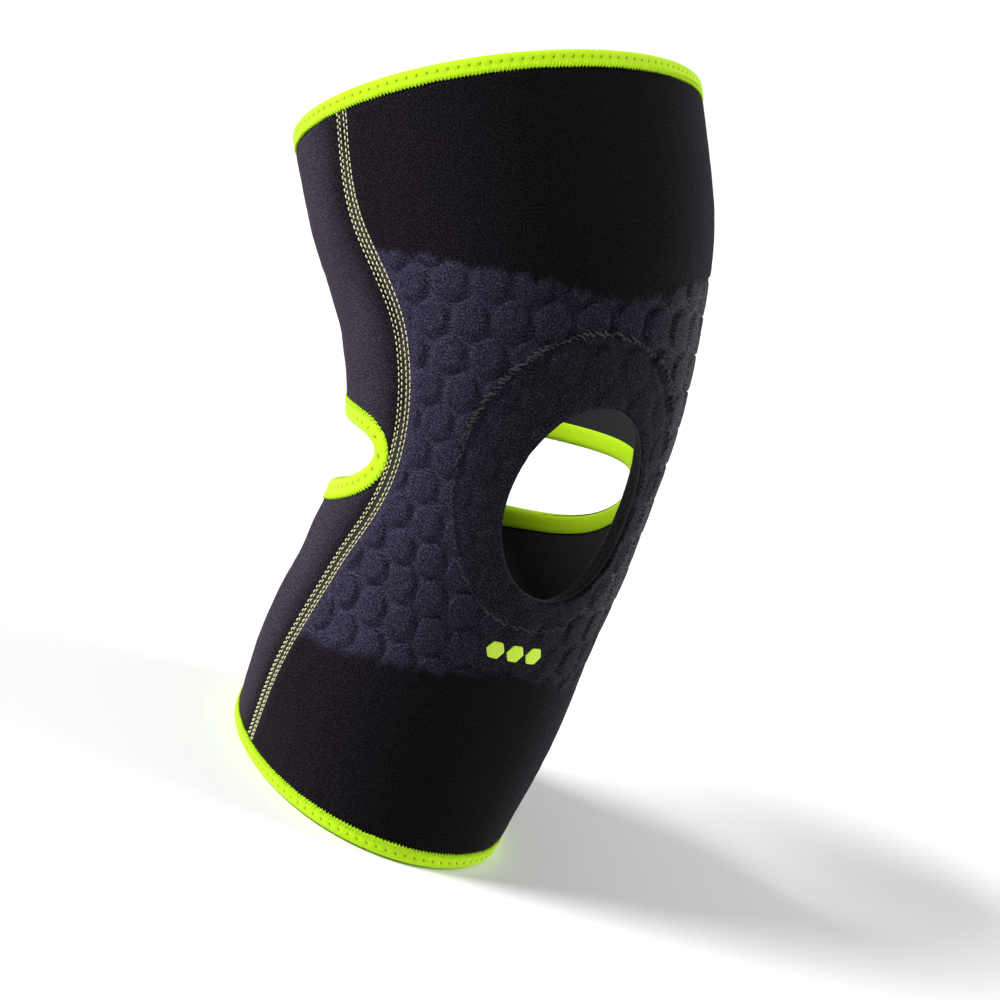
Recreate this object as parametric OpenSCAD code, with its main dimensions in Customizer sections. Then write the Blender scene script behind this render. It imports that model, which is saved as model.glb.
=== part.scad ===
// Open-patella knee sleeve for a right leg, shaped to a bent knee and standing on its calf rim.
// Millimetres. +Z is up, -Y is the front with the kneecap opening, -X is the outer side of the leg.
// A place on the sleeve is given by s, the distance up the centreline, and u, the angle round it
// from the front toward +X. The lift is the distance out from the sleeve's outer surface.

/* [Leg shape] */
// Length of the centreline from the calf rim to the thigh rim
sleeve_length = 290; // [275:1:305]
// Angle between the calf end and the thigh end
knee_bend = 42; // [36:1:46]
// Turn of the bend toward the outer side of the leg
bend_turn = 14; // [0:1:18]
// Length of the straight calf end
calf_straight = 110; // [104:1:114]
// Length of the straight thigh end
thigh_straight = 42; // [36:1:48]
// Height of the knee along the centreline
knee_height = 147; // [143:1:151]
// Half widths at equal steps from the calf rim to the thigh rim
half_widths = [53, 63, 63, 65, 72, 82, 84]; // [50:1:90]
// Front depths at the same steps
front_depths = [63, 59, 56, 57, 65, 72, 76]; // [50:1:90]
// Rear depths at the same steps
rear_depths = [76, 68, 61, 59, 64, 71, 77]; // [50:1:90]
// Angles of the side seams from the front at the same steps
seam_angles = [103, 93, 85, 73, 73, 83, 81]; // [70:1:105]

/* [Laminate] */
// Thickness of the face fabric
face_thickness = 0.7; // [0.5:0.1:1]
// Thickness of the foam core
core_thickness = 2.2; // [1.8:0.1:2.6]
// Thickness of the lining
lining_thickness = 0.5; // [0.4:0.1:0.7]

/* [Openings] */
// Half width of the kneecap opening, round the leg
kneecap_half_width = 28; // [24:1:30]
// Half height of the kneecap opening, along the centreline
kneecap_half_height = 31; // [27:1:33]
// Half width of the opening behind the knee, round the leg
back_half_width = 97; // [90:1:98]
// Half height of the opening behind the knee, along the centreline
back_half_height = 21; // [18:1:24]
// How much lower that opening lies at its middle than at its ends
back_drop = 16; // [10:1:17]

/* [Trim] */
// Width of the folded edge binding at the rims
binding_width = 7; // [6:0.5:8]
// Width of the folded edge binding behind the knee
back_binding_width = 8.5; // [7:0.5:8.5]
// Thickness of the binding tape
binding_thickness = 0.8; // [0.6:0.1:1]
// Width of each row of seam thread
thread_width = 0.7; // [0.5:0.1:0.9]
// Width of the tape over the seam on the inside
seam_tape_width = 5; // [4:0.5:5.5]
// Half width of the stitched ring round the kneecap opening
ring_half_width = 43.5; // [42:0.5:46]
// Half height of the stitched ring
ring_half_height = 46.5; // [45:0.5:48]
// How far the stitched ring lies toward the outer side of the leg
ring_aside = 5; // [0:0.5:6]
// How far the stitched ring lies above the middle of the kneecap opening
ring_above = 5.5; // [0:0.5:6]
// Thickness of the kneecap ring
ring_thickness = 4; // [3:0.5:5]
// Width across the flats of each cell of the emblem
emblem_cell = 7; // [5:0.5:8]

/* [Hidden] */
laminate = face_thickness + core_thickness + lining_thickness;
bend_start = calf_straight;
bend_end = sleeve_length - thigh_straight;
bend_radius = (bend_end - bend_start) / (knee_bend * PI / 180);
lean = [-sin(bend_turn), cos(bend_turn)];

// Room left between fabric layers that are meshed apart
air = 0.2;
inner_air = 0.5;
tape_air = 0.9;
edge_inset = binding_thickness + air;
// Behind the bent knee the rows lie closer together and the opening's ends curve sharply, so the
// cut edge stands further back there, most of all above and below the opening.
back_inset = 2 * edge_inset;
back_height_inset = 3.5 * edge_inset;
degrees_per_mm = 180 / PI / 58;

// Rows of cells between an opening and a rim. The first ones belong to the knee zone, where the
// foam bends; the others belong to the thigh and calf zones.
rows = 9;
knee_rows = 3;
// The knee zone's height above and below the knee, at the seams and at the middle of each panel
zone_at_seam = 20;
front_zone = 37;
rear_zone = 66;

// A panel is [turn of its middle, opening half width as a share of the panel, opening half height,
// columns beside the opening, columns over the opening, zone height, drop of the opening's middle].
knee_seam = spline(seam_angles, knee_height);
front = [0, (kneecap_half_width * degrees_per_mm) / knee_seam, kneecap_half_height, 4, 10, front_zone, 0];
rear = [180, (back_half_width + back_inset) * degrees_per_mm / (180 - knee_seam),
        back_half_height + back_height_inset, 1, 22, rear_zone, back_drop];

BLACK = [0.09, 0.09, 0.1];
PURPLE_BLACK = [0.2, 0.18, 0.25];
FOAM = [0.14, 0.14, 0.14];
LIME = [0.75, 1, 0];
THREAD = [0.78, 0.85, 0.35];

// Smooth curve through values at equal steps from s = 0 to the sleeve's length
function knot(v, i) =
    i < 0 ? 2 * v[0] - v[1] : i >= len(v) ? 2 * v[len(v) - 1] - v[len(v) - 2] : v[i];
function spline(v, s) =
    let (x = min(max(s / sleeve_length, 0), 1) * (len(v) - 1),
         i = min(floor(x), len(v) - 2),
         t = x - i,
         a = knot(v, i - 1),
         b = knot(v, i),
         c = knot(v, i + 1),
         d = knot(v, i + 2))
    b + t / 2 * (c - a + t * (2 * a - 5 * b + 4 * c - d + t * (3 * (b - c) + d - a)));

// Centreline: straight calf end, a circular bend, straight thigh end
function bend_at(s) = min(max((s - bend_start) / (bend_end - bend_start), 0), 1) * knee_bend;
function centre(s) =
    let (a = bend_at(s), past = max(s - bend_end, 0))
    [bend_radius * (1 - cos(a)) + past * sin(a),
     min(s, bend_start) + bend_radius * sin(a) + past * cos(a)];

// The flat section at s, before it is tilted into the bend
function section(s, u, lift) =
    let (w = spline(half_widths, s) + lift,
         f = spline(front_depths, s) + lift,
         r = spline(rear_depths, s) + lift)
    [w * sin(u), -(r + (f - r) * (1 + cos(u)) / 2) * cos(u)];
function place(s, u, lift) =
    let (v = section(s, u, lift),
         m = v * lean,
         a = bend_at(s),
         c = centre(s),
         flat = v + (c[0] + m * (cos(a) - 1)) * lean)
    [flat[0], flat[1], c[1] - m * sin(a)];

// Length on the surface for each millimetre of centreline: less than 1 behind the bent knee
function stretch(s, u) =
    s > bend_start && s < bend_end ? 1 - section(s, u, 0) * lean / bend_radius : 1;

// Share of the panel's width at column j, from -1 to 1
function share(panel, j) =
    let (side = panel[3], over = panel[4], e = panel[1])
    j <= side ? -1 + (1 - e) * j / side
    : j >= side + over ? e + (1 - e) * (j - side - over) / side
    : -e * cos(180 * (j - side) / over);
function columns(panel) = 2 * panel[3] + panel[4];
function turn(panel, s, p) =
    panel[0] + p * (panel[0] == 0 ? spline(seam_angles, s) : 180 - spline(seam_angles, s));

// Height of row i at column j: the opening's edge, the knee zone's edge, then on to the rim
function opening_edge(panel, p, up) =
    let (middle = max(0, 1 - pow(p / panel[1], 2)))
    panel[2] * sqrt(middle) - up * panel[6] * middle;
function row_height(panel, half, i, p) =
    let (up = half == 0 ? 1 : -1,
         edge = opening_edge(panel, p, up),
         zone = zone_at_seam + (panel[5] - zone_at_seam) * (1 - p * p),
         rim = half == 0 ? sleeve_length - edge_inset - knee_height : knee_height - edge_inset)
    knee_height + up * (i <= knee_rows ? edge + (zone - edge) * i / knee_rows
                        : zone + (rim - zone) * (i - knee_rows) / (rows - knee_rows));
function grid_point(panel, half, i, j, lift) =
    let (p = share(panel, j), s = row_height(panel, half, i, p))
    place(s, turn(panel, s, p), lift);

// Beside the opening the two halves of a panel share their first row of points.
function is_beside(panel, j) = j <= panel[3] || j >= panel[3] + panel[4];
function index(panel, layer, half, i, j) =
    let (own = i == 0 && is_beside(panel, j) ? 0 : half)
    ((layer * 2 + own) * (rows + 1) + i) * (columns(panel) + 1) + j;

// Two triangles of a face whose corners run anticlockwise as seen from outside
function quad(a, b, c, d, flip) = flip ? [[a, b, c], [a, c, d]] : [[a, c, b], [a, d, c]];

function half_faces(panel, half, first, last, whole) =
    let (n = columns(panel), flip = half == 1)
    concat(
        [for (layer = [0, 1], i = [first:last - 1], j = [0:n - 1])
            each quad(index(panel, layer, half, i, j), index(panel, layer, half, i, j + 1),
                      index(panel, layer, half, i + 1, j + 1), index(panel, layer, half, i + 1, j),
                      flip != (layer == 1))],
        [for (j = [0:n - 1])
            each quad(index(panel, 0, half, last, j), index(panel, 0, half, last, j + 1),
                      index(panel, 1, half, last, j + 1), index(panel, 1, half, last, j), flip)],
        [for (j = [0:n - 1])
            if (!(whole && is_beside(panel, j) && is_beside(panel, j + 1)))
                each quad(index(panel, 0, half, first, j), index(panel, 0, half, first, j + 1),
                          index(panel, 1, half, first, j + 1), index(panel, 1, half, first, j),
                          !flip)],
        [for (i = [first:last - 1])
            each quad(index(panel, 0, half, i, 0), index(panel, 0, half, i + 1, 0),
                      index(panel, 1, half, i + 1, 0), index(panel, 1, half, i, 0), flip)],
        [for (i = [first:last - 1])
            each quad(index(panel, 0, half, i, n), index(panel, 0, half, i + 1, n),
                      index(panel, 1, half, i + 1, n), index(panel, 1, half, i, n), !flip)]);

// One layer of a panel between two lifts. Rows first to last of the halves that are named:
// "both" joins the thigh and calf halves beside the opening.
module panel_layer(panel, outer, inner, halves, first, last) {
    n = columns(panel);
    points = [for (lift = [outer, inner], half = [0, 1], i = [0:rows], j = [0:n])
        grid_point(panel, half, i, j, lift)];
    faces = halves == "both"
        ? concat(half_faces(panel, 0, first, last, true), half_faces(panel, 1, first, last, true))
        : half_faces(panel, halves == "thigh" ? 0 : 1, first, last, false);
    polyhedron(points, faces, 4);
}

face_lift = 0;
core_lift = -face_thickness;
lining_lift = core_lift - core_thickness;
inside_lift = -laminate;

module face_layer(panel) {
    panel_layer(panel, face_lift, core_lift, "both", 0, rows);
}
module lining_layer(panel) {
    panel_layer(panel, lining_lift, inside_lift, "both", 0, rows);
}
module core_knee(panel) {
    panel_layer(panel, core_lift, lining_lift, "both", 0, knee_rows);
}
module core_half(panel, half) {
    panel_layer(panel, core_lift, lining_lift, half, knee_rows, rows);
}

// A profile carried along stations. A station is [s, u, step of s, step of u] for each millimetre
// of the profile's first coordinate; the profile's second coordinate is the lift.
function station_point(station, p) =
    place(station[0] + p[0] * station[2], station[1] + p[0] * station[3], p[1]);
module carried(stations, profile, closed) {
    m = len(profile);
    n = len(stations);
    points = [for (station = stations, p = profile) station_point(station, p)];
    sides = [for (k = [0:(closed ? n - 1 : n - 2)], i = [0:m - 1])
        let (k2 = (k + 1) % n, i2 = (i + 1) % m)
        each quad(k * m + i, k2 * m + i, k2 * m + i2, k * m + i2, true)];
    caps = closed ? [] : [[for (i = [0:m - 1]) i], [for (i = [m - 1:-1:0]) (n - 1) * m + i]];
    polyhedron(points, concat(sides, caps), 4);
}
function box_profile(centre, width, low, high) =
    [[centre - width / 2, low], [centre + width / 2, low], [centre + width / 2, high],
     [centre - width / 2, high]];

// Stations round a rim, at the columns of both panels, stepping inward from the rim
function rim_stations(s, inward) =
    concat([for (j = [0:columns(front) - 1]) [s, turn(front, s, share(front, j)), inward, 0]],
           [for (j = [0:columns(rear) - 1]) [s, turn(rear, s, share(rear, j)), inward, 0]]);

// Stations round an ellipse on the surface, stepping outward from it. Its middle may lie lower than
// its ends by the drop.
function ellipse_stations(s0, u0, half_width, half_height, drop, steps) =
    [for (k = [0:steps - 1])
        let (t = 360 * k / steps,
             out = [(half_height - 2 * drop * sin(t)) * cos(t), half_width * sin(t)],
             size = norm(out),
             s = s0 + half_height * sin(t) - drop * pow(sin(t), 2),
             u = u0 + half_width * degrees_per_mm * cos(t))
        [s, u, out[1] / size / stretch(s, u), out[0] / size * degrees_per_mm]];

// Stations up a side seam, between the two rim bindings, stepping round the leg
seam_end = binding_width + 1;
function seam_stations(side) =
    let (steps = 30)
    [for (k = [0:steps])
        let (s = seam_end + (sleeve_length - 2 * seam_end) * k / steps)
        [s, side * spline(seam_angles, s), 0, degrees_per_mm]];

// Folded tape: an outer leg, a wall over the cut edge and an inner leg
function binding_profile(width, gap) =
    [[0, gap + binding_thickness], [0, inside_lift - gap - binding_thickness],
     [width, inside_lift - gap - binding_thickness], [width, inside_lift - gap],
     [binding_thickness, inside_lift - gap], [binding_thickness, gap], [width, gap],
     [width, gap + binding_thickness]];
function zigzag_profile(width, gap) =
    box_profile(width - 1.6, 1.6, binding_thickness + gap + air, binding_thickness + gap + 2 * air);

back_edge = ellipse_stations(knee_height, 180, back_half_width, back_half_height, back_drop,
                             2 * rear[4]);
module rim_binding(s, inward) {
    profile = binding_profile(binding_width, air);
    carried(rim_stations(s, inward), inward < 0 ? profile : [for (i = [7:-1:0]) profile[i]], true);
}
module rim_thread(s, inward) {
    profile = zigzag_profile(binding_width, air);
    carried(rim_stations(s, inward), inward < 0 ? [for (i = [3:-1:0]) profile[i]] : profile, true);
}

seam_row_offsets = [-2.1, -0.9, 0.9, 2.1];
module seam_thread(side) {
    for (offset = seam_row_offsets)
        carried(seam_stations(side), box_profile(offset, thread_width, air, air + 0.5), false);
}
module seam_tape(side) {
    low = inside_lift - tape_air - 0.5;
    carried(seam_stations(side), box_profile(0, seam_tape_width, low, low + 0.5), false);
}

// Stations from the kneecap opening's edge out to the stitched ring: a profile carried along them
// has its first coordinate from 0 at the edge to 1 at the ring.
kneecap_edge = ellipse_stations(knee_height, 0, kneecap_half_width, kneecap_half_height, 0, 44);
stitched_ring = ellipse_stations(knee_height + ring_above, -ring_aside * degrees_per_mm,
                                 ring_half_width, ring_half_height, 0, 44);
edge_to_ring = [for (k = [0:43])
    let (edge = kneecap_edge[k], ring = stitched_ring[k])
    [edge[0], edge[1], ring[0] - edge[0], ring[1] - edge[1]]];

ring_top = inside_lift - inner_air;
ring_profile = [[0.15, ring_top], [0.85, ring_top], [0.78, ring_top - 0.7 * ring_thickness],
                [0.5, ring_top - ring_thickness], [0.22, ring_top - 0.7 * ring_thickness]];
cover_thickness = 0.6;
cover_top = [[0.03, 0], [0.08, 0], [0.19, -0.75 * ring_thickness],
             [0.5, -ring_thickness - inner_air], [0.81, -0.75 * ring_thickness], [0.92, 0], [1, 0]];
cover_profile =
    concat([for (i = [0:6]) [cover_top[i][0], ring_top + cover_top[i][1]]],
           [for (i = [6:-1:0]) [cover_top[i][0], ring_top + cover_top[i][1] - cover_thickness]]);

emblem_height = 95;
emblem_turn = -4;
emblem_pitch = emblem_cell + 2;
module emblem_hexagon(s, u) {
    r = emblem_cell / sqrt(3);
    stations = [for (k = [0:5])
        let (t = 60 * k + 30)
        [s + r * sin(t), u + r * cos(t) * degrees_per_mm]];
    points = concat([for (p = stations) place(p[0], p[1], air + 0.3)],
                    [for (p = stations) place(p[0], p[1], air)]);
    sides = [for (k = [0:5]) each quad(k, (k + 1) % 6, (k + 1) % 6 + 6, k + 6, true)];
    polyhedron(points, concat([[5, 4, 3, 2, 1, 0], [6, 7, 8, 9, 10, 11]], sides), 4);
}

module front_face() {
    color(BLACK) face_layer(front);
}
module front_core_thigh() {
    color(FOAM) core_half(front, "thigh");
}
module front_core_knee() {
    color(FOAM) core_knee(front);
}
module front_core_calf() {
    color(FOAM) core_half(front, "calf");
}
module front_lining() {
    color(BLACK) lining_layer(front);
}
module rear_face() {
    color(PURPLE_BLACK) face_layer(rear);
}
module rear_core_thigh() {
    color(FOAM) core_half(rear, "thigh");
}
module rear_core_knee() {
    color(FOAM) core_knee(rear);
}
module rear_core_calf() {
    color(FOAM) core_half(rear, "calf");
}
module rear_lining() {
    color(BLACK) lining_layer(rear);
}
module patella_ring() {
    color(FOAM) carried(edge_to_ring, ring_profile, true);
}
module ring_cover() {
    color(BLACK) carried(edge_to_ring, cover_profile, true);
}
module ring_thread() {
    color(BLACK) carried(stitched_ring, box_profile(0, 1.2, air, air + 0.5), true);
}
module top_binding() {
    color(LIME) rim_binding(sleeve_length, -1);
}
module bottom_binding() {
    color(LIME) rim_binding(0, 1);
}
module back_binding() {
    color(LIME) carried(back_edge, binding_profile(back_binding_width, inner_air), true);
}
module top_binding_thread() {
    color(LIME) rim_thread(sleeve_length, -1);
}
module bottom_binding_thread() {
    color(LIME) rim_thread(0, 1);
}
module back_binding_thread() {
    color(LIME) carried(back_edge, zigzag_profile(back_binding_width, inner_air), true);
}
module outer_seam_thread() {
    color(THREAD) seam_thread(-1);
}
module inner_seam_thread() {
    color(THREAD) seam_thread(1);
}
module outer_seam_tape() {
    color(BLACK) seam_tape(-1);
}
module inner_seam_tape() {
    color(BLACK) seam_tape(1);
}
// Three small lime cells in a row below the kneecap opening
module emblem() {
    color(LIME)
        for (k = [-1:1])
            emblem_hexagon(emblem_height, emblem_turn + k * emblem_pitch * degrees_per_mm);
}

front_face();
front_core_thigh();
front_core_knee();
front_core_calf();
front_lining();
rear_face();
rear_core_thigh();
rear_core_knee();
rear_core_calf();
rear_lining();
patella_ring();
ring_cover();
ring_thread();
top_binding();
bottom_binding();
back_binding();
top_binding_thread();
bottom_binding_thread();
back_binding_thread();
outer_seam_thread();
inner_seam_thread();
outer_seam_tape();
inner_seam_tape();
emblem();
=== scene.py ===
from math import cos, pi, radians, sin, sqrt

import bpy
import numpy as np
from mathutils import Matrix, Vector


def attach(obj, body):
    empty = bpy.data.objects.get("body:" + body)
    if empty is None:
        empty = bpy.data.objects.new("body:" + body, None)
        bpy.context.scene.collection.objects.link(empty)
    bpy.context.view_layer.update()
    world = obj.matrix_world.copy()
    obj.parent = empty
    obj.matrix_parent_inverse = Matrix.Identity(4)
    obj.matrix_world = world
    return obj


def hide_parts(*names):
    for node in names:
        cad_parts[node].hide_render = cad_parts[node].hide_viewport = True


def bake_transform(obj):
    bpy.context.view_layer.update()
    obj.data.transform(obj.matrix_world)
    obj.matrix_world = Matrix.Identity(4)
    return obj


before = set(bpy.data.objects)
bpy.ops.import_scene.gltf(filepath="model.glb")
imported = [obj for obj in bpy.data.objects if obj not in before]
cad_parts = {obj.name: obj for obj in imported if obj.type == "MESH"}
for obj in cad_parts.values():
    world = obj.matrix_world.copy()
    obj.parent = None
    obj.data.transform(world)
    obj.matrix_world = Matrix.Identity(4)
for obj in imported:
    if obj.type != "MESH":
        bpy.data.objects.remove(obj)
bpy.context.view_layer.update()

MM = 0.001

# ---------------- camera
AZIMUTH, ELEVATION, ROLL = radians(-39.3), radians(17.9), radians(24.2)
DISTANCE = 1.244
AIM = Vector((0.0076, 0.0053, 0.1316))
LENS_MM, SENSOR_MM = 112.3, 36
CLIP_NEAR, CLIP_FAR = 0.05, 500


def make_camera():
    back = Vector((sin(AZIMUTH) * cos(ELEVATION), -cos(AZIMUTH) * cos(ELEVATION), sin(ELEVATION)))
    level = Vector((cos(AZIMUTH), sin(AZIMUTH), 0))
    up = back.cross(level)
    right = level * cos(ROLL) + up * sin(ROLL)
    data = bpy.data.cameras.new("camera")
    data.lens = LENS_MM
    data.sensor_width = SENSOR_MM
    data.clip_start, data.clip_end = CLIP_NEAR, CLIP_FAR
    camera = bpy.data.objects.new("camera", data)
    bpy.context.scene.collection.objects.link(camera)
    camera.matrix_world = Matrix.Translation(AIM + back * DISTANCE) @ Matrix(
        (right, back.cross(right), back)).transposed().to_4x4()
    bpy.context.scene.camera = camera


make_camera()

# ---------------- the leg shape, as in the CAD
# s is the distance up the centreline, u the angle round it from the front toward +X, and lift the
# distance out from the sleeve's outer surface.
LENGTH = 0.290
BEND, BEND_TURN = radians(42), radians(14)
BEND_START, BEND_END = 0.110, 0.248
KNEE = 0.147
BEND_RADIUS = (BEND_END - BEND_START) / BEND
LEAN = np.array([-sin(BEND_TURN), cos(BEND_TURN)])
HALF_WIDTHS = np.array([53, 63, 63, 65, 72, 82, 84]) * MM
FRONT_DEPTHS = np.array([63, 59, 56, 57, 65, 72, 76]) * MM
REAR_DEPTHS = np.array([76, 68, 61, 59, 64, 71, 77]) * MM
SEAM_TURNS = np.radians([103, 93, 85, 73, 73, 83, 81])
MEAN_RADIUS = 0.058
LAMINATE = 3.4 * MM
BINDING_WIDTH = 7 * MM
KNEE_EXTRA = 0.22


def spline(values, s):
    """A smooth curve through values that are spaced evenly along the sleeve."""
    ends = np.concatenate([[2 * values[0] - values[1]], values, [2 * values[-1] - values[-2]]])
    x = np.clip(np.asarray(s, float) / LENGTH, 0, 1) * (len(values) - 1)
    i = np.minimum(x.astype(int), len(values) - 2)
    t = x - i
    a, b, c, d = ends[i], ends[i + 1], ends[i + 2], ends[i + 3]
    return b + t / 2 * (c - a + t * (2 * a - 5 * b + 4 * c - d + t * (3 * (b - c) + d - a)))


def half_depth(s, u):
    """Half the leg's depth, which changes from the rear's to the front's as u turns to the front."""
    front, rear = spline(FRONT_DEPTHS, s), spline(REAR_DEPTHS, s)
    return rear + (front - rear) * (1 + np.cos(u)) / 2


def place(s, u, lift=0.0):
    """The point in space at s, u and lift."""
    s, u, lift = np.broadcast_arrays(np.asarray(s, float), np.asarray(u, float), np.asarray(lift, float))
    angle = np.clip((s - BEND_START) / (BEND_END - BEND_START), 0, 1) * BEND
    past = np.maximum(s - BEND_END, 0)
    out = BEND_RADIUS * (1 - np.cos(angle)) + past * np.sin(angle)
    height = np.minimum(s, BEND_START) + BEND_RADIUS * np.sin(angle) + past * np.cos(angle)
    x = (spline(HALF_WIDTHS, s) + lift) * np.sin(u)
    y = -(half_depth(s, u) + lift) * np.cos(u)
    m = x * LEAN[0] + y * LEAN[1]
    shift = out + m * (np.cos(angle) - 1)
    return np.stack([x + shift * LEAN[0], y + shift * LEAN[1], height - m * np.sin(angle)], -1)


def radius(s, u):
    """Length round the leg for each radian of u."""
    return np.hypot(spline(HALF_WIDTHS, s) * np.cos(u), half_depth(s, u) * np.sin(u))


def stretch(s, u):
    """Length on the surface for each unit of centreline."""
    m = spline(HALF_WIDTHS, s) * np.sin(u) * LEAN[0] - half_depth(s, u) * np.cos(u) * LEAN[1]
    inside = (np.asarray(s) > BEND_START) & (np.asarray(s) < BEND_END)
    return np.where(inside, 1 - m / BEND_RADIUS, 1.0)


def cloth_x(s, u):
    """Place across the flat cloth."""
    return u * (0.5 * spline(HALF_WIDTHS, s) + 0.5 * spline(FRONT_DEPTHS, s))


def cloth_y(s):
    """Place along the flat cloth, which is longer over the bent knee."""
    return s + KNEE_EXTRA * (np.clip(s, BEND_START, BEND_END) - BEND_START)


# ---------------- small maths helpers
NOISE_SIZE = 256


def smooth(low, high, x):
    """0 below low and 1 above high, with a smooth step between them."""
    t = np.clip((x - low) / (high - low), 0, 1)
    return t * t * (3 - 2 * t)


def bump(x, width):
    """1 at zero, fading to both sides."""
    return np.exp(-(x / width) ** 2)


def arc_lengths(points):
    """The distance along a path to each of its points."""
    return np.concatenate([[0], np.cumsum(np.linalg.norm(np.diff(points, axis=0), axis=1))])


def noise(x, y, scale, seed):
    """Smooth value noise from -1 to 1 with cells of the given size."""
    table = np.random.default_rng(seed).uniform(-1, 1, (NOISE_SIZE, NOISE_SIZE))
    fx, fy = x / scale, y / scale
    ix, iy = np.floor(fx).astype(int), np.floor(fy).astype(int)
    tx, ty = fx - ix, fy - iy
    tx, ty = tx * tx * (3 - 2 * tx), ty * ty * (3 - 2 * ty)

    def at(i, j):
        return table[(ix + i) % NOISE_SIZE, (iy + j) % NOISE_SIZE]

    low = at(0, 0) * (1 - tx) + at(1, 0) * tx
    high = at(0, 1) * (1 - tx) + at(1, 1) * tx
    return low * (1 - ty) + high * ty


# ---------------- relief of the outer fabric
# The embossed cells: rows of rounded hexagons, as the turn from one to the next and the cloth from
# row to row, with one cell's place and the grain's slow drift round the leg
CELL_TURN, CELL_ROW = radians(12.6), 14.4 * MM
CELL_U, CELL_Y = radians(1.8), 222.2 * MM
CELL_DRIFT = radians(0.055) / MM
CELL_HEIGHT = 1.85 * MM
CELL_ROUNDING = 5
# A cell's flat top ends, and the groove's floor starts, at these shares of the way to the next cell
CELL_EDGE, CELL_GROOVE = 0.74, 0.90
# The turns between which the cells fade until they lie flush, and between which they rise again
FLUSH_START, FLUSH_END = (radians(20), radians(46)), (radians(56), radians(72))
# The embossed zone's top and bottom at the front, and how much further it reaches at the sides
EMBOSS_TOP, EMBOSS_BOTTOM, EMBOSS_SPREAD = 209 * MM, 85 * MM, 19 * MM
PLAIN_LIFT, PRINTED_LIFT = 0.3 * MM, 0.1 * MM
HOLE_W, HOLE_H = 28 * MM, 31 * MM
# The stitched ring round the kneecap opening
RING_X, RING_S = -5 * MM, KNEE + 5.5 * MM
RING_W, RING_H = 43.5 * MM, 46.5 * MM
RING_STITCHES = 128
TUFT_PITCH = 2.6 * MM
EMBLEM_S, EMBLEM_U = 95 * MM, radians(-4)
EMBLEM_CELL, EMBLEM_PITCH = 7 * MM, 9 * MM
EMBLEM_MARGIN = 4.5 * MM
# The opening behind the knee, whose middle lies lower than its ends
BACK_W, BACK_H, BACK_DROP = 97 * MM, 21 * MM, 16 * MM
BACK_BINDING_WIDTH = 8.5 * MM
# How far each panel's cut edges lie inside the fold of their binding
RIM_INSET, BACK_INSET_W, BACK_INSET_H = 1 * MM, 1 * MM, 2.4 * MM
# The rear panel's soft folds: their length, and how far above and below the knee they lie
FOLD_LENGTH, FOLD_DISTANCE = 30 * MM, 52 * MM
LOWEST_LIFT, HIGHEST_LIFT = -1.25 * MM, 2.2 * MM


def cells(u, y):
    """How far each point is from its cell's middle: 1 where cells would meet."""
    row = (y - CELL_Y) / CELL_ROW * sqrt(3) / 2
    column = (u + CELL_DRIFT * (CELL_Y - y) - CELL_U) / CELL_TURN
    nearest = np.full(np.shape(u), np.inf)
    for shift in (0.0, 0.5):
        dx = column - np.round(column - shift) - shift
        dy = row - (np.round(row / sqrt(3) - shift) + shift) * sqrt(3)
        sides = (dx, dx / 2 + dy * sqrt(3) / 2, dx / 2 - dy * sqrt(3) / 2)
        distance = 2 * sum(np.abs(side) ** CELL_ROUNDING for side in sides) ** (1 / CELL_ROUNDING)
        nearest = np.minimum(nearest, distance)
    return nearest


def cell_share(s, u):
    """The same, on cloth that the leg has pulled a little out of true."""
    x, y = cloth_x(s, u), cloth_y(s)
    return cells(u + 0.008 * noise(x, y, 14 * MM, 21), y + 0.5 * MM * noise(x, y, 17 * MM, 22))


def ring_share(s, u):
    """0 at the kneecap opening's edge and 1 at the stitched ring, the distance out from the ring, and
    the angle round it."""
    x = u * MEAN_RADIUS
    from_hole = (np.hypot(x / HOLE_W, (s - KNEE) / HOLE_H) - 1) * (HOLE_W + HOLE_H) / 2
    out = (np.hypot((x - RING_X) / RING_W, (s - RING_S) / RING_H) - 1) * (RING_W + RING_H) / 2
    share = from_hole / np.maximum(from_hole - np.minimum(out, 0), 1 * MM)
    return np.where(out < 0, share, 1 + out / (15 * MM)), out, np.arctan2(s - RING_S, x - RING_X)


def emboss_mask(s, u):
    """1 in the embossed zone of the front panel, with a furry edge above and below."""
    turn = np.abs(np.degrees(u))
    x = cloth_x(s, u)
    fringe = 0.9 * MM * noise(x, np.full_like(x, 3), 0.8 * MM, 11)
    fringe += 1.4 * MM * noise(x, np.zeros_like(x), 5 * MM, 12)
    top = EMBOSS_TOP + EMBOSS_SPREAD * (turn / 80) ** 1.25 + fringe
    bottom = EMBOSS_BOTTOM - EMBOSS_SPREAD * (turn / 85) ** 1.2 - fringe
    return smooth(-1.3 * MM, 1.3 * MM, top - s) * smooth(-2.5 * MM, 2.5 * MM, s - bottom)


def seam_distance(s, u):
    """How far behind the side seams a point is."""
    return (np.abs(u) - spline(SEAM_TURNS, s)) * MEAN_RADIUS


def cell_relief(s, u, x, y, ring):
    """The pillows of the cells and the grooves between them, lower inside the stitched ring."""
    across_cell = cell_share(s, u)
    # inward of the kneecap the cells lie flush, with narrow grooves between them
    flush = smooth(*FLUSH_START, u) * (1 - smooth(*FLUSH_END, u))
    pillow = 1 - smooth(CELL_EDGE + 0.07 * flush, CELL_GROOVE, across_cell)
    pillow += 0.18 * (1 - np.clip(across_cell, 0, 1) ** 2)
    inside = 1 - smooth(0.84, 1.03, ring)
    height = CELL_HEIGHT * (1 - 0.62 * inside) * (1 - 0.35 * flush)
    height *= 0.95 + 0.2 * noise(x, y, 30 * MM, 23)
    height *= smooth(3.6 * MM, 7 * MM, np.abs(seam_distance(s, u)))
    return height * (pillow - 0.55 - 0.45 * flush)


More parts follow.
